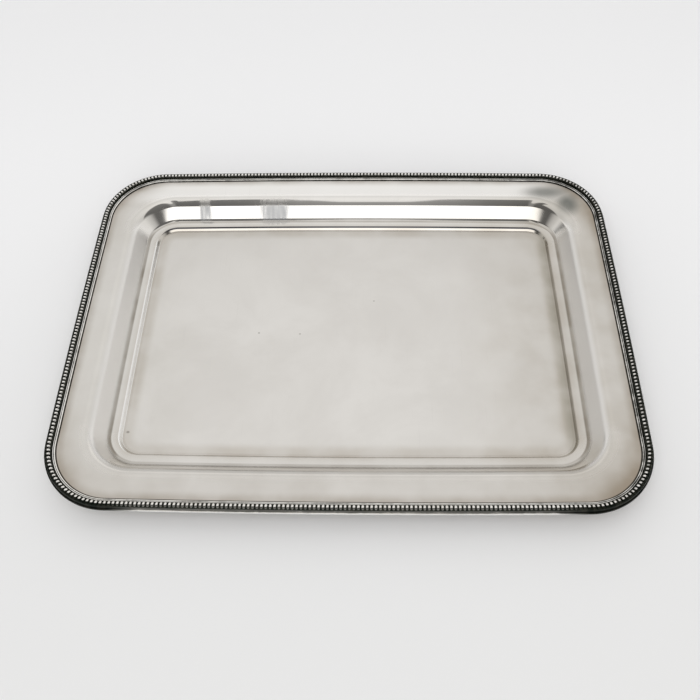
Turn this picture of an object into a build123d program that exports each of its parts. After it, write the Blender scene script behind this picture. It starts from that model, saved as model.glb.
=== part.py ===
"""A rectangular silver serving tray: one pressed sheet with a soldered bead-and-reed border.

The tray stands as it does on a table. The origin is the middle of its underside, +X runs along
the long side, +Y points to the back and +Z up. All lengths are in millimetres.

Every outline of the tray is a rounded rectangle whose four sides are very flat arcs, so each
feature that runs round the tray is a cross-section turned about eight centres: four far ones for
the sides and four near ones for the corners. The rim and its border share one set of centres. The
well has its own set, because its corners are much tighter than the rim's.
"""
import os
from math import atan2, cos, degrees, radians, sin, sqrt

from build123d import *

# ---- Driving dimensions ----

LENGTH = 406.4  # over the rim's cut edge, at the middle of the ends
WIDTH = 304.8  # over the rim's cut edge, at the middle of the long sides
HEIGHT = 22.0  # from the underside of the floor to the tops of the beads
SHEET = 1.2  # thickness of the silver sheet
BOW_RADIUS = 8000.0  # every side is a very flat arc of this radius
RIM_CORNER = 48.5  # corner radius at the cut edge

# The well, from the floor outwards; the bends are given on its upper face
FLOOR_LENGTH = 314.8  # the flat floor, from end to end
FLOOR_WIDTH = 207.3  # the flat floor, from front to back
FLOOR_CORNER = 14.0
STEP_HEIGHT = 2.7  # small step between the floor and the ledge
STEP_SLOPE = 57.0  # at its steepest
STEP_FOOT = 0.6  # concave bend where the step leaves the floor
STEP_CREST = 1.5  # convex bend where the step reaches the ledge
LEDGE = 5.0  # flat width of the ledge
HEEL_BEND = 3.0  # concave bend where the wall leaves the ledge
WALL_SLOPE = 57.0  # at its steepest
SHOULDER_BEND = 9.0  # convex bend where the wall rolls over into the rim

# The border strip: x is measured outwards from the cut edge, so it is negative, and y upwards
# from the rim's upper face
BORDER_HEIGHT = 4.0  # to the tops of the beads
BORDER_TOE = (-0.15, 0.0)  # outer edge
TOE_CREST = (-0.45, 0.62)  # top of the thin moulding along the toe
TOE_CREASE = (-0.8, 0.45)  # between the toe moulding and the outer face
GROOVE = (-5.5, 0.9)  # bottom of the groove between the beads and the reeds
WIDE_REED = (-5.95, 1.4)  # its crest
REED_VALLEY = (-6.45, 0.95)  # between the wide reed and the narrow one
NARROW_REED = (-7.05, 1.1)  # its crest
REED_END = (-7.5, 0.35)  # top of the narrow reed's upright inner edge
BEAD_SEAT = 2.8  # height of the flat seat, just over the beads' middles
SEAT_MARGIN = 0.18  # of the seat beyond each end of a bead
BEAD_MIDDLE = -3.3  # of each bead, across the strip
BEAD_LENGTH = 3.6  # across the strip
BEAD_WIDTH = 2.5  # along the strip
SIDE_BEADS = 111
END_BEADS = 74
CORNER_BEADS = 24

RIM_TOP = HEIGHT - BORDER_HEIGHT
UP = Vector(0, 0, 1)


def heading(angle):
    """The horizontal unit vector at an angle from +X."""
    return Vector(cos(radians(angle)), sin(radians(angle)), 0)


class Outline:
    """A rounded rectangle with bowed sides, measured between the middles of its sides."""

    def __init__(self, length, width, corner):
        self.half_length = length / 2
        self.half_width = width / 2
        self.corner = corner
        self.x, self.y = self.corner_centre()

    def corner_centre(self):
        """Centre of the back right corner, whose arc touches both of its sides."""
        reach = BOW_RADIUS - self.corner
        x, y = self.half_length, self.half_width
        for _ in range(12):
            x = self.half_length - BOW_RADIUS + sqrt(reach**2 - y**2)
            y = self.half_width - BOW_RADIUS + sqrt(reach**2 - x**2)
        return x, y

    def stretches(self):
        """Name, centre, radius, first angle and turn of each stretch, anticlockwise."""
        end = self.half_length - BOW_RADIUS
        side = self.half_width - BOW_RADIUS
        end_turn = degrees(atan2(self.y, self.x - end))
        side_turn = degrees(atan2(self.x, self.y - side))
        corner_turn = 90 - end_turn - side_turn
        x, y = self.x, self.y
        return [
            ("right", Vector(end, 0), BOW_RADIUS, -end_turn, 2 * end_turn),
            ("corner_back_right", Vector(x, y), self.corner, end_turn, corner_turn),
            ("back", Vector(0, side), BOW_RADIUS, 90 - side_turn, 2 * side_turn),
            ("corner_back_left", Vector(-x, y), self.corner, 90 + side_turn, corner_turn),
            ("left", Vector(-end, 0), BOW_RADIUS, 180 - end_turn, 2 * end_turn),
            ("corner_front_left", Vector(-x, -y), self.corner, 180 + end_turn, corner_turn),
            ("front", Vector(0, -side), BOW_RADIUS, 270 - side_turn, 2 * side_turn),
            ("corner_front_right", Vector(x, -y), self.corner, 270 + side_turn, corner_turn),
        ]

    def face(self, outwards=0.0):
        """The flat face inside the outline, let out all round by an offset."""
        arcs = [
            CenterArc(centre, radius + outwards, first, turn)
            for _, centre, radius, first, turn in self.stretches()
        ]
        return make_face(arcs)

    def ring(self, section):
        """The section turned along each stretch, by name.

        The section's x is measured outwards from the outline and its y is the height.
        """
        pieces = {}
        for name, centre, radius, first, turn in self.stretches():
            out = heading(first + turn)
            plane = Plane(centre + out * radius, x_dir=out, z_dir=out.cross(UP))
            pieces[name] = revolve(plane * section, Axis(centre, UP), -turn)
        return pieces


class Walk:
    """A chain of straight runs and tangent bends, walked outwards from a start."""

    def __init__(self, x, y):
        self.at = Vector(x, y)
        self.slope = 0.0
        self.edges = []

    def run(self, length):
        end = self.at + heading(self.slope) * length
        self.edges.append(Line(self.at, end))
        self.at = end

    def bend(self, radius, turn):
        """Turns by an angle, upwards if it is positive."""
        side = 90 if turn > 0 else -90
        centre = self.at + heading(self.slope + side) * radius
        self.edges.append(CenterArc(centre, radius, self.slope - side, turn))
        self.slope += turn
        self.at = centre + heading(self.slope - side) * radius


# ---- The pressed sheet ----


def straight_between_bends(rise, bends, slope):
    """Length of the straight run between two bends that climb by rise together."""
    return (rise - bends * (1 - cos(radians(slope)))) / sin(radians(slope))


def well_line(y, depth):
    """One face of the sheet, from the floor's edge to the rim.

    depth is how far the face lies under the upper one, so it adds to the concave radii and takes
    from the convex ones.
    """
    wall_rise = RIM_TOP - SHEET - STEP_HEIGHT
    walk = Walk(0, y)
    walk.bend(STEP_FOOT + depth, STEP_SLOPE)
    walk.run(straight_between_bends(STEP_HEIGHT, STEP_FOOT + STEP_CREST, STEP_SLOPE))
    walk.bend(STEP_CREST - depth, -STEP_SLOPE)
    walk.run(LEDGE)
    walk.bend(HEEL_BEND + depth, WALL_SLOPE)
    walk.run(straight_between_bends(wall_rise, HEEL_BEND + SHOULDER_BEND, WALL_SLOPE))
    walk.bend(SHOULDER_BEND - depth, -WALL_SLOPE)
    return walk


def tray_body(rim, well):
    """Floor, step, ledge, wall and rim, pressed from one sheet."""
    upper = well_line(SHEET, 0)
    lower = well_line(0, SHEET)
    ends = [Line((0, 0), (0, SHEET)), Line(lower.at, upper.at)]
    section = make_face(upper.edges + lower.edges + ends)
    floor = extrude(well.face(), SHEET)
    rim_plate = extrude(rim.face() - well.face(upper.at.X), SHEET)
    rim_plate = Pos(0, 0, RIM_TOP - SHEET) * rim_plate
    return Part() + floor + list(well.ring(section).values()) + rim_plate


# ---- The border ----


def border_section():
    """Toe moulding, outer face, seat of the beads, groove, wide reed and narrow reed."""
    foot = (REED_END[0], 0)
    half_seat = BEAD_LENGTH / 2 + SEAT_MARGIN
    seat_outer = (BEAD_MIDDLE + half_seat, BEAD_SEAT)
    seat_inner = (BEAD_MIDDLE - half_seat, BEAD_SEAT)
    edges = [
        Line(foot, BORDER_TOE),
        ThreePointArc(BORDER_TOE, TOE_CREST, TOE_CREASE),
        Line(TOE_CREASE, seat_outer),
        Line(seat_outer, seat_inner),
        Line(seat_inner, GROOVE),
        ThreePointArc(GROOVE, WIDE_REED, REED_VALLEY),
        ThreePointArc(REED_VALLEY, NARROW_REED, REED_END),
        Line(REED_END, foot),
    ]
    return Pos(0, RIM_TOP) * make_face(edges)


def bead():
    """One oval bead lying along X, with its middle at the origin and its seam underneath."""
    half_oval = EllipticalCenterArc((0, 0), BEAD_LENGTH / 2, BEAD_WIDTH / 2, 180, arc_size=180)
    spine = Line((-BEAD_LENGTH / 2, 0), (BEAD_LENGTH / 2, 0))
    return Rot(90, 0, 0) * revolve(make_face([half_oval, spine]), Axis.X)


def bead_count(name):
    if name.startswith("corner"):
        return CORNER_BEADS
    return SIDE_BEADS if name in ("front", "back") else END_BEADS


def beads_along(centre, radius, first, turn, count):
    """Evenly spaced beads, half a pitch in from both ends of a stretch."""
    middle = Vector(radius + BEAD_MIDDLE, 0, HEIGHT - BEAD_WIDTH / 2)
    for i in range(count):
        angle = first + turn * (i + 0.5) / count
        yield Pos(centre) * Rot(0, 0, angle) * Pos(middle) * bead()


def border(rim):
    """The border's eight strips, by name, butted end to end round the rim."""
    strips = rim.ring(border_section())
    for name, centre, radius, first, turn in rim.stretches():
        row = beads_along(centre, radius, first, turn, bead_count(name))
        strips[name] = strips[name].fuse(*row)
    return strips


rim = Outline(LENGTH, WIDTH, RIM_CORNER)
well = Outline(FLOOR_LENGTH, FLOOR_WIDTH, FLOOR_CORNER)

parts = {"tray_body": tray_body(rim, well)}
for strip_name, strip in border(rim).items():
    parts["border_" + strip_name] = strip

os.makedirs("parts", exist_ok=True)
for node, shape in parts.items():
    export_step(shape, f"parts/{node}.step")
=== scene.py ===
"""The looks of a rectangular silver serving tray, on a pale table in soft studio light.

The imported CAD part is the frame: its boxes give the size and place of every piece built here.
Lengths in the profile tables are in millimetres, and the scene is in metres. Every outline of the
tray is a rounded rectangle with slightly bowed sides, and each piece is a profile swept round one.
"""

from math import atan2, cos, degrees, pi, radians, sin, sqrt

import bpy
import numpy as np
from mathutils import Matrix, Vector


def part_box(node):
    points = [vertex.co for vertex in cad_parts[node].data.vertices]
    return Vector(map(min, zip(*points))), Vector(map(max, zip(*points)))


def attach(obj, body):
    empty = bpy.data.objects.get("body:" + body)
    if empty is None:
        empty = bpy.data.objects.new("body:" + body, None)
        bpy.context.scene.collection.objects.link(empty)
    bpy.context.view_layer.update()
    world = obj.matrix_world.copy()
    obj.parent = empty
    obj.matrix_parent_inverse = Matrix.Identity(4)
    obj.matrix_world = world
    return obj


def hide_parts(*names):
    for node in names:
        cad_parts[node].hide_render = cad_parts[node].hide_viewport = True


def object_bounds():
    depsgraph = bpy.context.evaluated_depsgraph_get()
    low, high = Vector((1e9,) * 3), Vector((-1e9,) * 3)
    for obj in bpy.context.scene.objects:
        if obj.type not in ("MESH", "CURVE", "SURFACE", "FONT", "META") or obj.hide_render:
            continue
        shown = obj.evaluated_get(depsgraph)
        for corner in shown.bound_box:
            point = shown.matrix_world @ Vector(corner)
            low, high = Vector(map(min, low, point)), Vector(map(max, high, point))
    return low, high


MM = 0.001

# ---- The tray's shape, in millimetres ----

SHEET = 1.2
BOW_RADIUS = 8000.0
RIM_CORNER = 48.5
FLOOR_LENGTH = 314.8
FLOOR_WIDTH = 207.3
FLOOR_CORNER = 14.0
STEP_HEIGHT = 2.7
STEP_SLOPE = 57.0
STEP_FOOT = 0.6
STEP_CREST = 1.5
LEDGE = 5.0
HEEL_BEND = 3.0
WALL_SLOPE = 57.0
SHOULDER_BEND = 9.0
LIP_BEVEL = 0.3  # rounding of the rim's cut edge
BORDER_INNER = -7.5
BEAD_MIDDLE = -3.3
BEAD_LENGTH = 3.6
BEAD_WIDTH = 2.5
BEADS = {"side": 111, "end": 74, "corner": 24}
BORDER_CREASE = (-0.8, 0.45)  # between the toe moulding and the bead seat
SEAT_HEIGHT = 2.8
SEAT_MARGIN = 0.18  # how far the bead seat passes the ends of the beads
FLOOR_MARGIN = 13.0  # width of the close-set rings round the floor
FLOOR_REACH = 90.0  # from those rings to the middle, along the shorter way
RIM_FLAT, RIM_WIDTH = 16.0, 24.0  # mean widths, which only place the looks

# How finely each curve is divided
SHEET_STATIONS = {"side": 100, "end": 100, "corner": 40}
STRIP_STATIONS = {"side": 60, "end": 60, "corner": 40}
BEAD_AROUND, BEAD_ALONG = 18, 12
SHARP_ANGLE = 38


# ---- The frame ----

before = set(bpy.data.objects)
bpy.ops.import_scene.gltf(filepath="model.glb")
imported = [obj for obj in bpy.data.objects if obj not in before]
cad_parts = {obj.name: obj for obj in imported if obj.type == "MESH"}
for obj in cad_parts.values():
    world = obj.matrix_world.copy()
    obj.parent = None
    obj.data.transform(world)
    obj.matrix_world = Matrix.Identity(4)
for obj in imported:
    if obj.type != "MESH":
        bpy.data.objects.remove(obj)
cad_low, cad_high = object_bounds()
BODY_LOW, BODY_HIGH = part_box("tray_body")
LENGTH = (BODY_HIGH.x - BODY_LOW.x) / MM
WIDTH = (BODY_HIGH.y - BODY_LOW.y) / MM
RIM_TOP = BODY_HIGH.z / MM
BEAD_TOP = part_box("border_front")[1].z / MM


# ---- Outlines and profiles ----


def kind_of(stretch_name):
    if stretch_name.startswith("corner"):
        return "corner"
    return "side" if stretch_name in ("front", "back") else "end"


class Outline:
    """A rounded rectangle with bowed sides, measured between the middles of its sides."""

    def __init__(self, length, width, corner):
        half_length, half_width = length / 2, width / 2
        reach = BOW_RADIUS - corner
        x, y = half_length, half_width
        # Each pass brings the centre of the corner arc closer to touching both sides
        for _ in range(12):
            x = half_length - BOW_RADIUS + sqrt(reach**2 - y**2)
            y = half_width - BOW_RADIUS + sqrt(reach**2 - x**2)
        end, side = half_length - BOW_RADIUS, half_width - BOW_RADIUS
        end_turn = degrees(atan2(y, x - end))
        side_turn = degrees(atan2(x, y - side))
        corner_turn = 90 - end_turn - side_turn
        self.stretches = [
            ("right", (end, 0), BOW_RADIUS, -end_turn, 2 * end_turn),
            ("corner_back_right", (x, y), corner, end_turn, corner_turn),
            ("back", (0, side), BOW_RADIUS, 90 - side_turn, 2 * side_turn),
            ("corner_back_left", (-x, y), corner, 90 + side_turn, corner_turn),
            ("left", (-end, 0), BOW_RADIUS, 180 - end_turn, 2 * end_turn),
            ("corner_front_left", (-x, -y), corner, 180 + end_turn, corner_turn),
            ("front", (0, -side), BOW_RADIUS, 270 - side_turn, 2 * side_turn),
            ("corner_front_right", (x, -y), corner, 270 + side_turn, corner_turn),
        ]

    def stations(self):
        """Centres, radii and outward headings of the stations all the way round."""
        centres, radii, angles = [], [], []
        for name, centre, radius, first, turn in self.stretches:
            count = SHEET_STATIONS[kind_of(name)]
            for i in range(count):
                centres.append(centre)
                radii.append(radius)
                angles.append(radians(first + turn * i / count))
        heading = np.column_stack((np.cos(angles), np.sin(angles)))
        return np.array(centres), np.array(radii)[:, None], heading

    def ring(self, offset):
        """Points at an offset outwards, in the plane."""
        centres, radii, heading = self.stations()
        return centres + (radii + offset) * heading


def bend(points, radius, turn, parts):
    """Adds a tangent arc to a list of (distance out, height, slope)."""
    x, y, slope = points[-1]
    side = 90 if turn > 0 else -90
    centre_x = x + radius * cos(radians(slope + side))
    centre_y = y + radius * sin(radians(slope + side))
    for i in range(1, parts + 1):
        now = slope + turn * i / parts
        points.append(
            (
                centre_x + radius * cos(radians(now - side)),
                centre_y + radius * sin(radians(now - side)),
                now,
            )
        )


def run(points, length):
    """Adds a straight stretch at the slope reached."""
    x, y, slope = points[-1]
    points.append((x + length * cos(radians(slope)), y + length * sin(radians(slope)), slope))


def straight_between_bends(rise, bends, slope):
    """Length of the straight part of a slope, given the sum of the radii of its two bends."""
    return (rise - bends * (1 - cos(radians(slope)))) / sin(radians(slope))


def well_line(height, depth):
    """One face of the sheet from the floor's edge to the rim, as (distance out, height, slope).

    The depth is how far the face lies under the upper face: 0, or the sheet's thickness.
    """
    wall_rise = RIM_TOP - SHEET - STEP_HEIGHT
    points = [(0.0, height, 0.0)]
    bend(points, STEP_FOOT + depth, STEP_SLOPE, parts=9)
    run(points, straight_between_bends(STEP_HEIGHT, STEP_FOOT + STEP_CREST, STEP_SLOPE))
    bend(points, STEP_CREST - depth, -STEP_SLOPE, parts=9)
    run(points, LEDGE)
    bend(points, HEEL_BEND + depth, WALL_SLOPE, parts=12)
    run(points, straight_between_bends(wall_rise, HEEL_BEND + SHOULDER_BEND, WALL_SLOPE))
    bend(points, SHOULDER_BEND - depth, -WALL_SLOPE, parts=30)
    return points


# ---- Meshes ----


def mesh_piece(name, vertices, faces, attributes, normals=None):
    """A mesh object from arrays in millimetres, with one float attribute per name."""
    mesh = bpy.data.meshes.new(name)
    mesh.from_pydata((np.asarray(vertices) * MM).tolist(), [], faces)
    mesh.update()
    for key, values in attributes.items():
        layer = mesh.attributes.new(key, "FLOAT", "POINT")
        layer.data.foreach_set("value", np.asarray(values, np.float32))
    mesh.shade_smooth()
    if normals is None:
        mesh.set_sharp_from_angle(angle=radians(SHARP_ANGLE))
    else:
        mesh.normals_split_custom_set_from_vertices(np.asarray(normals).tolist())
    piece = bpy.data.objects.new(name, mesh)
    bpy.context.scene.collection.objects.link(piece)
    return piece


def tray_body():
    """The pressed sheet: floor, step, ledge, wall, rim, rounded cut edge and underside."""
    rim = Outline(LENGTH, WIDTH, RIM_CORNER)
    well = Outline(FLOOR_LENGTH, FLOOR_WIDTH, FLOOR_CORNER)
    rim_heading = rim.stations()[2]
    well_heading = well.stations()[2]
    rim_line = rim.ring(0)
    count = len(rim_line)
    flat = np.zeros((count, 1))
    rows, normals, walked, from_rim = [], [], [], []

    def add(plane, height, out, slope, up, distance):
        """One ring of the sheet; up is 1 on the upper face and -1 underneath."""
        rows.append(np.hstack((plane, flat + height)))
        tilt = radians(slope)
        normals.append(np.hstack((-out * sin(tilt) * up, flat + cos(tilt) * up)))
        walked.append(np.full(count, distance))
        from_rim.append(-np.linalg.norm(plane - rim_line, axis=1))

    def floor_rings(height, up, order):
        inner = well.ring(-FLOOR_MARGIN)
        shares = [0.02, 0.1, 0.2, 0.3, 0.4, 0.5, 0.6, 0.7, 0.8, 0.9]
        rings = [(inner * share, -FLOOR_MARGIN - FLOOR_REACH * (1 - share)) for share in shares]
        rings += [(well.ring(-d), -d) for d in (FLOOR_MARGIN, 10, 7, 5, 3, 1.5, 0.6)]
        for plane, distance in rings[::order]:
            add(plane, height, well_heading, 0, up, distance)

    floor_rings(SHEET, 1, 1)
    upper = well_line(SHEET, 0)
    for x, y, slope in upper:
        add(well.ring(x), y, well_heading, slope, 1, x)
    shoulder = upper[-1][0]
    crease = rim.ring(BORDER_INNER)
    for share in (0.1, 0.25, 0.4, 0.55, 0.7, 0.85, 1):
        plane = well.ring(shoulder) * (1 - share) + crease * share
        add(plane, RIM_TOP, rim_heading, 0, 1, shoulder + RIM_FLAT * share)
    add(rim.ring(-LIP_BEVEL), RIM_TOP, rim_heading, 0, 1, shoulder + RIM_WIDTH)
    for i in range(1, 5):
        turn = radians(90 * i / 4)
        out = LIP_BEVEL * (sin(turn) - 1)
        drop = LIP_BEVEL * (1 - cos(turn))
        add(rim.ring(out), RIM_TOP - drop, rim_heading, -90 * i / 4, 1, shoulder + RIM_WIDTH)
    underside = RIM_TOP - SHEET
    for i in range(5):
        turn = radians(90 * i / 4)
        out = LIP_BEVEL * (cos(turn) - 1)
        rise = LIP_BEVEL * (1 - sin(turn))
        add(rim.ring(out), underside + rise, rim_heading, 90 - 90 * i / 4, -1, shoulder + RIM_WIDTH + 1)
    add(crease, underside, rim_heading, 0, -1, shoulder + RIM_FLAT)
    lower = well_line(0, SHEET)
    for x, y, slope in reversed(lower):
        add(well.ring(x), y, well_heading, slope, -1, x)
    floor_rings(0, -1, -1)

    vertices = np.vstack(rows)
    faces = []
    for r in range(len(rows) - 1):
        for i in range(count):
            j = (i + 1) % count
            a, b = r * count, (r + 1) * count
            faces.append((a + i, b + i, b + j, a + j))
    faces.append(tuple(range(count)))
    faces.append(tuple(reversed(range((len(rows) - 1) * count, len(rows) * count))))
    attributes = {"walked": np.concatenate(walked), "from_rim": np.concatenate(from_rim)}
    return mesh_piece("tray_sheet", vertices, faces, attributes, np.vstack(normals))


def arc_through(start, middle, end, parts):
    """Points of the arc through three points, without its start."""
    (ax, ay), (bx, by), (cx, cy) = start, middle, end
    d = 2 * (ax * (by - cy) + bx * (cy - ay) + cx * (ay - by))
    a2, b2, c2 = ax**2 + ay**2, bx**2 + by**2, cx**2 + cy**2
    ux = (a2 * (by - cy) + b2 * (cy - ay) + c2 * (ay - by)) / d
    uy = (a2 * (cx - bx) + b2 * (ax - cx) + c2 * (bx - ax)) / d
    radius = sqrt((ax - ux) ** 2 + (ay - uy) ** 2)
    first = atan2(ay - uy, ax - ux)
    last = atan2(cy - uy, cx - ux)
    through = atan2(by - uy, bx - ux)
    turn = (last - first) % (2 * pi)
    if (through - first) % (2 * pi) > turn:
        turn -= 2 * pi
    return [
        (ux + radius * cos(first + turn * i / parts), uy + radius * sin(first + turn * i / parts))
        for i in range(1, parts + 1)
    ]


def border_profile():
    """The strip's section as (outwards, height over the rim, recess, outer), toe to reeds.

    Recess is how oxidised the metal is there, and outer is 1 on the outward side.
    """
    toe = (-0.15, 0.0)
    crease = BORDER_CREASE
    groove, valley, end = (-5.5, 0.9), (-6.45, 0.95), (-7.5, 0.35)
    half_seat = BEAD_LENGTH / 2 + SEAT_MARGIN
    points = [(*toe, 0.3, 1.0)]
    toe_arc = arc_through(toe, (-0.45, 0.62), crease, 6)
    points += [(x, y, 0.15, 1.0) for x, y in toe_arc[:-1]]
    points.append((*crease, 0.9, 1.0))
    for share in (0.08, 0.3, 0.6, 0.85, 1):
        x = crease[0] + (BEAD_MIDDLE + half_seat - crease[0]) * share
        y = crease[1] + (SEAT_HEIGHT - crease[1]) * share
        points.append((x, y, 0.35 + 0.6 * share, 1.0 - share))
    points.append((BEAD_MIDDLE, SEAT_HEIGHT, 1.0, 0.0))
    points.append((BEAD_MIDDLE - half_seat, SEAT_HEIGHT, 0.9, 0.0))
    points.append((-5.35, 1.3, 1.0, 0.0))
    points.append((*groove, 1.0, 0.0))
    wide = arc_through(groove, (-5.95, 1.4), valley, 8)
    narrow = arc_through(valley, (-7.05, 1.1), end, 8)
    for reed in (wide, narrow):
        for i, (x, y) in enumerate(reed):
            crest = sin(pi * (i + 1) / len(reed))
            points.append((x, y, 0.95 - 0.95 * crest**0.7, 0.0))
    points.append((end[0], 0.0, 1.0, 0.0))
    return points


def unit_bead(around, along):
    """A unit ball's vertices and faces, its poles on the x axis."""
    vertices = [(-1.0, 0.0, 0.0)]
    for i in range(1, along):
        a = pi * i / along
        for j in range(around):
            b = 2 * pi * j / around
            vertices.append((-cos(a), sin(a) * cos(b), sin(a) * sin(b)))
    vertices.append((1.0, 0.0, 0.0))
    faces = []
    last = len(vertices) - 1
    for j in range(around):
        k = (j + 1) % around
        faces.append((0, 1 + k, 1 + j))
        faces.append((last, last - around + j, last - around + k))
        for i in range(along - 2):
            a, b = 1 + i * around, 1 + (i + 1) * around
            faces.append((a + j, a + k, b + k, b + j))
    return np.array(vertices), faces


def border_strip(stretch):
    """One strip of the border: the swept moulding and its row of oval beads."""
    name, centre, radius, first, turn = stretch
    kind = kind_of(name)
    profile = border_profile()
    parts = STRIP_STATIONS[kind]
    size = len(profile)
    vertices, recess, outer, faces = [], [], [], []
    for i in range(parts + 1):
        angle = radians(first + turn * i / parts)
        for x, y, deep, edge in profile:
            reach = radius + x
            across, along = centre[0] + reach * cos(angle), centre[1] + reach * sin(angle)
            vertices.append((across, along, RIM_TOP + y))
            recess.append(deep)
            outer.append(edge)
    for i in range(parts):
        for k in range(size):
            n = (k + 1) % size
            a, b = i * size, (i + 1) * size
            faces.append((a + k, b + k, b + n, a + n))
    faces.append(tuple(range(size)))
    faces.append(tuple(reversed(range(parts * size, (parts + 1) * size))))
    ball, ball_faces = unit_bead(BEAD_AROUND, BEAD_ALONG)
    scaled = ball * (BEAD_LENGTH / 2, BEAD_WIDTH / 2, BEAD_WIDTH / 2)
    middle = BEAD_TOP - BEAD_WIDTH / 2
    beads = BEADS[kind]
    # Oxide covers the flanks, inner tips and underside of each bead, and the outer tip is darkened as
    # painted shade
    flank = np.clip((np.abs(ball[:, 1]) - 0.6) / 0.25, 0, 1)
    inner_tip = np.clip((-ball[:, 0] - 0.8) / 0.2, 0, 1)
    outer_tip_shade = np.clip((ball[:, 0] - 0.2) / 0.3, 0, 1)
    below = np.clip((0.3 - ball[:, 2]) / 0.3, 0, 1)
    bead_recess = np.maximum.reduce((flank, inner_tip, outer_tip_shade, below))
    for i in range(beads):
        angle = radians(first + turn * (i + 0.5) / beads)
        out = radius + BEAD_MIDDLE + scaled[:, 0]
        x = centre[0] + out * cos(angle) - scaled[:, 1] * sin(angle)
        y = centre[1] + out * sin(angle) + scaled[:, 1] * cos(angle)
        start = len(vertices)
        vertices.extend(zip(x, y, middle + scaled[:, 2]))
        recess.extend(bead_recess)
        outer.extend(outer_tip_shade)
        faces.extend(tuple(start + v for v in face) for face in ball_faces)
    return mesh_piece("strip_" + name, vertices, faces, {"recess": recess, "outer": outer})


# ---- Materials ----


class Graph:
    """The node tree of a material or a world, with short names for its nodes."""

    def __init__(self, owner, coordinates="Object"):
        owner.use_nodes = True
        self.owner = owner
        self.tree = owner.node_tree
        self.place = self.tree.nodes.new("ShaderNodeTexCoord").outputs[coordinates]

    def node(self, kind, **inputs):
        made = self.tree.nodes.new(kind)
        for key, value in inputs.items():
            self.feed(made.inputs[key], value)
        return made

    def feed(self, socket, value):
        if isinstance(value, bpy.types.NodeSocket):
            self.tree.links.new(value, socket)
        else:
            socket.default_value = value

    def math(self, operation, a, b=0.0, c=0.0):
        made = self.tree.nodes.new("ShaderNodeMath")
        made.operation = operation
        for socket, value in zip(made.inputs, (a, b, c)):
            self.feed(socket, value)
        return made.outputs[0]

    def product(self, first, *others):
        """The product of two or more masks or numbers, the first of them a mask."""
        for other in others:
            first = self.math("MULTIPLY", first, other)
        return first

    def distance(self, axis):
        """Distance from the tray's middle along one axis, on either side."""
        return self.math("ABSOLUTE", self.axis(axis))

    def attribute(self, name):
        made = self.tree.nodes.new("ShaderNodeAttribute")
        made.attribute_name = name
        return made.outputs["Fac"]

    def axis(self, name):
        made = self.node("ShaderNodeSeparateXYZ", Vector=self.place)
        return made.outputs[name]

    def stretched(self, scale, turn=0.0):
        """Object coordinates scaled by three numbers and then turned about Z."""
        made = self.tree.nodes.new("ShaderNodeMapping")
        self.feed(made.inputs["Vector"], self.place)
        made.inputs["Rotation"].default_value = (0, 0, radians(turn))
        made.inputs["Scale"].default_value = scale
        return made.outputs[0]

    def noise(self, scale, detail=2.0, roughness=0.5, where=None, distortion=0.0):
        made = self.node("ShaderNodeTexNoise")
        self.feed(made.inputs["Vector"], self.place if where is None else where)
        made.inputs["Scale"].default_value = scale
        made.inputs["Detail"].default_value = detail
        made.inputs["Roughness"].default_value = roughness
        made.inputs["Distortion"].default_value = distortion
        return made.outputs["Fac"]

    def smooth(self, value, low, high, at_low=0.0, at_high=1.0):
        """Eases from at_low to at_high while value goes from low to high."""
        made = self.tree.nodes.new("ShaderNodeMapRange")
        made.interpolation_type = "SMOOTHSTEP"
        bottom, top = (low, high) if low < high else (high, low)
        first, last = (at_low, at_high) if low < high else (at_high, at_low)
        for key, number in (("From Min", bottom), ("From Max", top), ("To Min", first), ("To Max", last)):
            made.inputs[key].default_value = number
        self.feed(made.inputs["Value"], value)
        return made.outputs["Result"]

    def band(self, value, low, high, soft):
        """1 between low and high, easing to 0 over soft on both sides."""
        rise = self.smooth(value, low - soft, low)
        fall = self.smooth(value, high + soft, high)
        return self.product(rise, fall)

    def spot(self, x, y, wide, deep, edge=0.35):
        """1 in an oval round a point of the tray, in millimetres, with a soft edge."""
        made = self.tree.nodes.new("ShaderNodeMapping")
        made.vector_type = "TEXTURE"
        self.feed(made.inputs["Vector"], self.place)
        made.inputs["Location"].default_value = (x * MM, y * MM, 0)
        made.inputs["Scale"].default_value = (wide * MM, deep * MM, 1e3)
        length = self.tree.nodes.new("ShaderNodeVectorMath")
        length.operation = "LENGTH"
        self.feed(length.inputs[0], made.outputs[0])
        return self.smooth(length.outputs["Value"], 1, edge)

    def mix(self, share, a, b):
        made = self.tree.nodes.new("ShaderNodeMix")
        made.data_type = "RGBA"
        self.feed(made.inputs["Factor"], share)
        self.feed(made.inputs[6], a)
        self.feed(made.inputs[7], b)
        return made.outputs[2]

    def bump(self, height, strength, distance, before=None):
        made = self.tree.nodes.new("ShaderNodeBump")
        made.inputs["Strength"].default_value = strength
        made.inputs["Distance"].default_value = distance
        self.feed(made.inputs["Height"], height)
        if before is not None:
            self.feed(made.inputs["Normal"], before)
        return made.outputs[0]

    def layered(self, paint, layers):
        """Lays colours over a paint, each as (mask, share, colour), the first one lowest."""
        for mask, share, shade in layers:
            paint = self.mix(self.product(mask, share), paint, shade)
        return paint

    def finish(self, **inputs):
        """Feeds the inputs of the surface, and gives the material."""
        surface = self.tree.nodes["Principled BSDF"]
        for key, value in inputs.items():
            self.feed(surface.inputs[key.replace("_", " ")], value)
        return self.owner


def colour(red, green, blue):
    """An opaque colour."""
    return (red, green, blue, 1.0)


def scratches(g, turn):
    """Faint streaks running front to back: 1 on a streak and 0 elsewhere. Each turn is a new set."""
    streaks = g.noise(1.0, 2.0, 0.5, g.stretched((900, 14, 100), turn))
    gate = g.smooth(g.noise(1.0, 0, 0.5, g.stretched((60, 22, 50), turn)), 0.5, 0.65)
    return g.product(g.smooth(streaks, 0.67, 0.76), gate)


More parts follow.
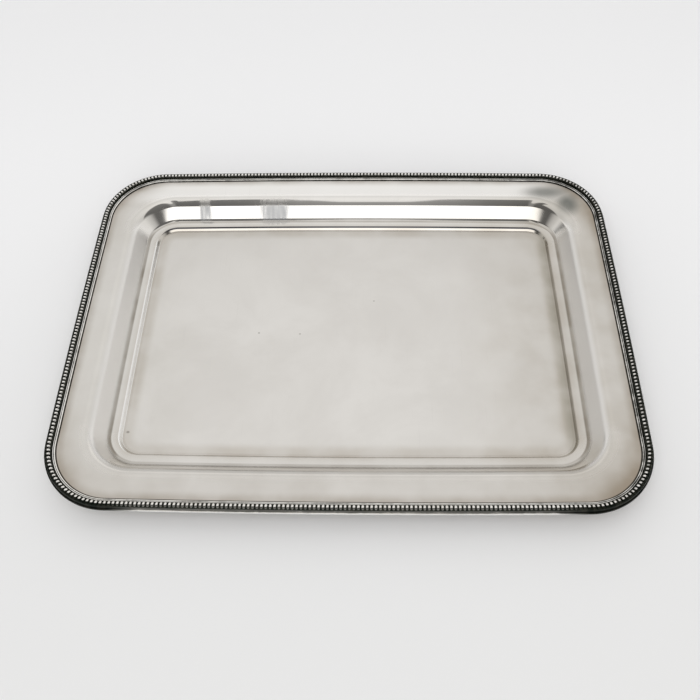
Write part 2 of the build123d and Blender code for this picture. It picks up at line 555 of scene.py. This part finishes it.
# Middles and sizes, in millimetres, of the pits seen in the floor
SEEN_PITS = ((-68.6, -0.2, 1.1), (-37.5, -1.0, 1.0), (18.4, 30.5, 0.9), (-153.9, -85.6, 1.6))
SATIN_ROUGHNESS = (0.28, 0.315)
POLISHED_ROUGHNESS = (0.05, 0.09)


def silver_sheet():
    """Satin silver: cloudy wear, brown tarnish in the creases, pits and hair scratches, with painted
    shade, highlights and reflections on parts of the rim, the cut edge, the steps and the walls of the
    well.

    Limits along X and Y are in metres. Walked is the level distance out from the floor's edge,
    and from_rim is the distance from the rim's edge, negative inwards, both in millimetres.
    """
    g = Graph(bpy.data.materials.new("silver_sheet"))
    walked, from_rim = g.attribute("walked"), g.attribute("from_rim")
    x, y, aside = g.axis("X"), g.axis("Y"), g.distance("X")
    clouds = g.noise(14, 4, 0.6, distortion=0.4)
    mottle = g.noise(60, 5, 0.65)
    ragged = g.smooth(g.noise(32, 3, 0.5), 0.3, 0.7, 0.5, 1)
    uneven = g.math("MULTIPLY_ADD", g.math("SUBTRACT", clouds, 0.5), 0.05, x)

    # Broad tarnish and wear, a floor darker towards the back, and a painted highlight on the back rim
    right = g.product(g.smooth(uneven, 0.06, 0.17), ragged)
    left = g.product(g.smooth(uneven, -0.1, -0.175), ragged)
    front = g.product(g.smooth(y, -0.095, -0.13), ragged)
    # The floor is painted darker towards the back.
    far_floor = g.product(g.smooth(y, 0.0, 0.1), g.smooth(walked, 4, 0))
    # Painted highlight: the back of the rim is painted lighter.
    back_rim_highlight = g.product(g.smooth(y, 0.115, 0.128), g.smooth(walked, 20, 26))
    beside_border = g.product(g.smooth(from_rim, -15.5, -7.8), ragged)
    corner = g.product(g.smooth(aside, 0.14, 0.185), g.smooth(g.distance("Y"), 0.07, 0.12))
    corner = g.product(corner, ragged, g.smooth(from_rim, -27.0, -10.0))
    corner = g.product(corner, g.smooth(x, -0.1, 0.1, 0.5, 0.9))
    under_reed = g.band(from_rim, -8.0, -7.0, 0.5)

    # Creases and edges of the well, with painted shade, reflections and highlights on the steps, heels
    # and side walls
    floor_edge = g.product(g.band(walked, -3.5, 0.5, 7.0), ragged)
    # Painted reflection: a dark line along the crest of the back step.
    back_crest_dark_reflection = g.product(g.band(walked, 1.6, 2.5, 0.3), g.smooth(y, 0.098, 0.103))
    # Painted shade: the right step and the floor's edge beside it are painted darker.
    right_step_shade = g.product(g.smooth(x, 0.149, 0.156), g.smooth(walked, 3.0, 0.5), ragged)
    foot = g.product(g.band(walked, -0.8, 0.8, 1.2), ragged)
    sideways = g.product(g.smooth(aside, 0.154, 0.161), g.smooth(y, 0.105, 0.09))
    # Painted shade: the heel crease at the foot of the side walls is painted dark brown.
    heel_shade = g.product(g.smooth(walked, 6.8, 7.8), g.smooth(walked, 11.5, 8.2))
    heel_shade = g.product(heel_shade, g.smooth(ragged, 0.5, 1, 0.7, 1), g.smooth(sideways, 0, 1, 0.4, 0.85))
    # Painted highlight: the left step is painted lighter.
    left_step_highlight = g.product(g.band(walked, 0.4, 2.4, 0.4), g.smooth(x, -0.15, -0.157))
    left_step_highlight = g.product(left_step_highlight, g.smooth(y, 0.095, 0.085))
    # Painted sheen: the straight part of the side walls is painted lighter, and it is made rougher too.
    side_wall_sheen = g.product(g.smooth(walked, 9.5, 11.0), g.smooth(walked, 21.0, 17.0), sideways)

    # Single marks
    blotch_round = g.spot(164, 122, 40, 28, 0)
    blotch = g.math("MAXIMUM", g.spot(160, 131, 26, 10, 0.1), g.spot(176, 118, 13, 17, 0.1))
    blotch = g.product(blotch, g.smooth(ragged, 0.5, 1, 0.75, 1))
    pits = g.smooth(g.noise(260, 1, 0.5), 0.83, 0.86)
    for pit_x, pit_y, size in SEEN_PITS:
        pits = g.math("MAXIMUM", pits, g.spot(pit_x, pit_y, size, size * 0.8))
    # Painted light on the rim's cut edge: a highlight along the front and painted shade along the sides
    # and back.
    front_lip_highlight = g.product(g.smooth(y, -0.13, -0.146), g.smooth(aside, 0.155, 0.13))
    lip_light_and_shade = g.mix(front_lip_highlight, colour(0.03, 0.03, 0.025), colour(0.97, 0.96, 0.94))
    lip = g.smooth(from_rim, -1.2, -0.5)
    hairs = scratches(g, 18)
    for turn in (-37, 71, 100):
        hairs = g.math("MAXIMUM", hairs, scratches(g, turn))
    scuffed = g.math("MAXIMUM", g.spot(-64, 117, 24, 19, 0.1), g.spot(-122, 118, 11, 18, 0.1))
    streaky = g.noise(1.0, 2, 0.5, g.stretched((420, 45, 45)))
    scuffed = g.math("MULTIPLY_ADD", g.math("SUBTRACT", streaky, 0.5), 1.1, scuffed)
    scuffed = g.smooth(scuffed, 0.3, 1.1)
    scuffed_wall = g.product(scuffed, g.band(walked, 10, 15.5, 1.5))

    dull, clean = colour(0.77, 0.747, 0.713), colour(0.835, 0.814, 0.782)
    layers = (
        (g.smooth(mottle, 0.52, 0.75), 0.1, colour(0.66, 0.63, 0.59)),
        (right, 0.5, colour(0.47, 0.42, 0.345)),
        (left, 0.22, colour(0.55, 0.52, 0.44)),
        (front, 0.42, colour(0.53, 0.49, 0.44)),
        (far_floor, 0.25, colour(0.60, 0.575, 0.54)),
        (back_rim_highlight, 0.85, colour(0.97, 0.955, 0.93)),
        (beside_border, 0.6, colour(0.34, 0.285, 0.22)),
        (corner, 1.0, colour(0.36, 0.30, 0.23)),
        (under_reed, 1.0, colour(0.045, 0.038, 0.03)),
        (floor_edge, 0.4, colour(0.42, 0.36, 0.28)),
        (back_crest_dark_reflection, 0.85, colour(0.10, 0.105, 0.12)),
        (right_step_shade, 0.7, colour(0.36, 0.34, 0.28)),
        (foot, 0.22, colour(0.30, 0.26, 0.21)),
        (heel_shade, 1.0, colour(0.22, 0.19, 0.15)),
        (left_step_highlight, 1.0, colour(0.99, 0.98, 0.96)),
        (side_wall_sheen, 1.0, colour(0.95, 0.93, 0.90)),
        (blotch_round, 0.45, colour(0.40, 0.37, 0.32)),
        (blotch, 1.0, colour(0.19, 0.195, 0.18)),
        (pits, 0.5, colour(0.20, 0.17, 0.14)),
        (lip, 1.0, lip_light_and_shade),
        (hairs, 0.10, colour(0.55, 0.53, 0.50)),
        (scuffed_wall, 0.6, colour(0.38, 0.40, 0.43)),
    )
    paint = g.layered(g.mix(g.smooth(clouds, 0.3, 0.7), dull, clean), layers)

    # The back of the well is polished, and the front of it partly
    polished = g.math("MAXIMUM", g.smooth(y, 0.082, 0.1), g.smooth(y, -0.085, -0.1, 0, 0.6))
    polished = g.product(g.band(walked, 1.0, 24.0, 2.0), polished)
    satin = g.smooth(g.noise(22, 3, 0.5), 0.3, 0.7, *SATIN_ROUGHNESS)
    polish = g.smooth(mottle, 0.3, 0.75, *POLISHED_ROUGHNESS)
    polish = g.math("MULTIPLY_ADD", scuffed, 0.3, polish)
    rough = g.math("MULTIPLY_ADD", polished, g.math("SUBTRACT", polish, satin), satin)
    rough = g.math("MULTIPLY_ADD", side_wall_sheen, 0.16, rough)
    rough = g.math("MULTIPLY_ADD", pits, 0.25, rough)

    wave = g.bump(g.noise(16, 1, 0.5), 0.35, 0.0012)
    dents = g.bump(g.noise(40, 1, 0.5), 0.08, 0.00016, wave)
    skin = g.bump(g.noise(420, 4, 0.6), 0.08, 0.00001, dents)
    return g.finish(Base_Color=paint, Metallic=1.0, Roughness=rough, Normal=skin)


def silver_border():
    """Bright crests over oxidised recesses. The outward side carries painted shade except along the front
    and the back, and a painted highlight along the front.
    """
    g = Graph(bpy.data.materials.new("silver_border"))
    recess, outer = g.attribute("recess"), g.attribute("outer")
    x, y = g.axis("X"), g.axis("Y")
    uneven = g.noise(180, 3, 0.6)
    worn = g.noise(35, 3, 0.6)
    front = g.product(g.smooth(y, -0.13, -0.146), g.smooth(g.distance("X"), 0.155, 0.13))
    # Painted shade: the outward side is darkened everywhere but along the front and the back.
    shown = g.math("MAXIMUM", front, g.smooth(y, 0.128, 0.144))
    hidden_side_shade = g.product(outer, g.math("SUBTRACT", 1.0, shown))
    deep = g.math("ADD", recess, g.smooth(uneven, 0.25, 0.75, -0.16, 0.16))
    deep = g.math("ADD", deep, g.smooth(x, 0.12, 0.19, 0, 0.2))
    deep = g.math("ADD", deep, hidden_side_shade)
    bright = g.mix(g.smooth(worn, 0.35, 0.7), colour(0.97, 0.95, 0.91), colour(0.85, 0.82, 0.77))
    oxide = g.mix(g.smooth(uneven, 0.35, 0.7), colour(0.012, 0.016, 0.012), colour(0.045, 0.045, 0.035))
    # Painted highlight: the outward side along the front is painted lighter grey.
    front_sheen = g.product(front, outer, g.smooth(worn, 0.3, 0.6, 0.5, 1))
    oxide = g.layered(oxide, ((front_sheen, 0.7, colour(0.45, 0.44, 0.41)),))
    paint = g.mix(g.smooth(deep, 0.05, 0.55), bright, oxide)
    rough = g.smooth(deep, 0.1, 0.9, 0.14, 0.42)
    skin = g.bump(g.noise(900, 3, 0.6), 0.3, 0.00003)
    return g.finish(Base_Color=paint, Metallic=1.0, Roughness=rough, Normal=skin)


def table_top():
    """Matt pale grey, with painted shade making it a little darker at the front."""
    g = Graph(bpy.data.materials.new("table_top"))
    # Painted shade: darker towards the front.
    far = g.smooth(g.math("MULTIPLY_ADD", g.noise(3, 3, 0.5), 0.1, g.axis("Y")), -0.25, 0.3)
    paint = g.mix(far, colour(0.80, 0.80, 0.80), colour(0.955, 0.955, 0.965))
    rough = g.smooth(g.noise(40, 3, 0.5), 0.3, 0.7, 0.6, 0.75)
    skin = g.bump(g.noise(500, 3, 0.5), 0.1, 0.0001)
    return g.finish(Base_Color=paint, Roughness=rough, Normal=skin)


# ---- Pieces ----

SHEET_SILVER = silver_sheet()
BORDER_SILVER = silver_border()

body = tray_body()
body.data.materials.append(SHEET_SILVER)
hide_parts("tray_body")
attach(body, "root")
for stretch in Outline(LENGTH, WIDTH, RIM_CORNER).stretches:
    strip = border_strip(stretch)
    strip.data.materials.append(BORDER_SILVER)
    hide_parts("border_" + stretch[0])
    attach(strip, "root")

# ---- Table and light ----

TABLE_SIZE = 8.0
LAMP_SIZE, LAMP_POWER = 2.4, 27.0
LAMP_PLACE, LAMP_TILT = (0.0, -1.3, 1.7), 37
HORIZON_LEVEL, ZENITH_LEVEL = 0.64, 1.0
DOME = ((0.0, HORIZON_LEVEL), (0.35, 0.70), (0.6, 0.74), (0.72, 0.76), (0.83, 0.83), (0.93, 0.9))
WINDOW_LIGHT = 1.1
BEHIND_LIGHT = 0.22
SIDE_LIGHT = 0.2
LEFT_SHADE = 0.8


def table(size):
    """A square card facing up, level with the underside of the tray."""
    mesh = bpy.data.meshes.new("table")
    half = size / 2
    corners = [(-half, -half, 0), (half, -half, 0), (half, half, 0), (-half, half, 0)]
    mesh.from_pydata(corners, [], [(0, 1, 2, 3)])
    mesh.materials.append(table_top())
    card = bpy.data.objects.new("table", mesh)
    card.location = (0, 0, cad_low.z)
    bpy.context.scene.collection.objects.link(card)


def studio_sky():
    """A pale dome, with one dark gap and one bright window at the front, and paler sides.

    The front angle climbs from 0 at the front horizon, over the top, to 180 at the back. It and the
    limits on it are in degrees, and the other limits are parts of the unit direction.
    """
    world = bpy.data.worlds.new("studio")
    sky = Graph(world, "Generated")
    east, north, up = sky.axis("X"), sky.axis("Y"), sky.axis("Z")
    aside = sky.math("ABSOLUTE", east)
    front_angle = sky.math("ARCTAN2", up, sky.math("MULTIPLY", north, -1))
    front_angle = sky.math("MULTIPLY", front_angle, 180 / pi)

    dome = sky.node("ShaderNodeValToRGB", Fac=up)
    dome.color_ramp.elements.remove(dome.color_ramp.elements[0])
    for height, level in DOME:
        dome.color_ramp.elements.new(height).color = (level, level, level, 1)
    dome.color_ramp.elements[-1].color = (ZENITH_LEVEL, ZENITH_LEVEL, ZENITH_LEVEL, 1)

    # The dark gap ends lower near the middle and on the left
    gap_top = sky.math("MULTIPLY_ADD", sky.smooth(aside, 0.10, 0.03), -32, 92)
    gap_top = sky.math("MULTIPLY_ADD", sky.smooth(east, -0.16, -0.26), -24, gap_top)
    under_top = sky.smooth(sky.math("SUBTRACT", front_angle, gap_top), 4, -4)
    gap = sky.product(sky.smooth(front_angle, 23, 26), under_top, sky.smooth(aside, 0.95, 0.75))
    gap_depth = sky.math("MULTIPLY_ADD", sky.smooth(aside, 0.03, 0.16), 0.24, 0.54)
    window = sky.product(sky.smooth(front_angle, 5, 10), sky.smooth(front_angle, 25, 22))
    window = sky.product(window, sky.smooth(aside, 0.62, 0.5))
    behind = sky.product(sky.smooth(front_angle, 128, 138), sky.smooth(front_angle, 150, 144))
    behind = sky.product(behind, sky.smooth(aside, 0.4, 0.2))
    sides = sky.product(sky.smooth(aside, 0.45, 0.65), sky.smooth(up, 0.48, 0.28))
    sides = sky.product(sides, sky.smooth(north, -0.3, 0.0))
    shade = sky.product(sky.smooth(up, 0.2, 0.1), sky.smooth(east, -0.45, -0.65))

    def lit(light, mask, amount):
        return sky.math("ADD", light, sky.product(mask, amount))

    def dimmed(light, mask, amount):
        return sky.product(light, sky.math("SUBTRACT", 1.0, sky.product(mask, amount)))

    light = dimmed(dome.outputs["Color"], gap, gap_depth)
    light = lit(light, behind, BEHIND_LIGHT)
    light = lit(light, sides, SIDE_LIGHT)
    light = dimmed(light, shade, LEFT_SHADE)
    light = lit(light, window, WINDOW_LIGHT)
    background = sky.tree.nodes["Background"]
    sky.feed(background.inputs["Color"], (1.0, 0.995, 0.985, 1))
    sky.feed(background.inputs["Strength"], light)
    return world


table(TABLE_SIZE)
bpy.context.scene.world = studio_sky()

lamp = bpy.data.lights.new("ceiling", "AREA")
lamp.shape = "SQUARE"
lamp.size = LAMP_SIZE
lamp.energy = LAMP_POWER
ceiling = bpy.data.objects.new("ceiling", lamp)
ceiling.location = LAMP_PLACE
ceiling.rotation_euler = (radians(LAMP_TILT), 0, 0)
ceiling.visible_glossy = False
bpy.context.scene.collection.objects.link(ceiling)

# ---- Camera ----

FOCAL = 41.737
ELEVATION, YAW, ROLL = 55.8197, 2.428, -1.8116
TARGET = Vector((1.165, -29.611, 22.0)) * MM
DISTANCE = 0.57902

elevation, yaw, roll = radians(ELEVATION), radians(YAW), radians(ROLL)
back = Vector((sin(yaw) * cos(elevation), -cos(yaw) * cos(elevation), sin(elevation)))
level = (-back).cross(Vector((0, 0, 1))).normalized()
upright = level.cross(-back)
across = level * cos(roll) + upright * sin(roll)
upward = upright * cos(roll) - level * sin(roll)
lens = bpy.data.cameras.new("camera")
lens.lens = FOCAL
lens.sensor_width = 36.0
lens.clip_start = 0.01
camera = bpy.data.objects.new("camera", lens)
turned = Matrix((across, upward, back)).transposed().to_4x4()
camera.matrix_world = Matrix.Translation(TARGET + back * DISTANCE) @ turned
bpy.context.scene.collection.objects.link(camera)
bpy.context.scene.camera = camera
bpy.context.scene.view_settings.view_transform = "Standard"
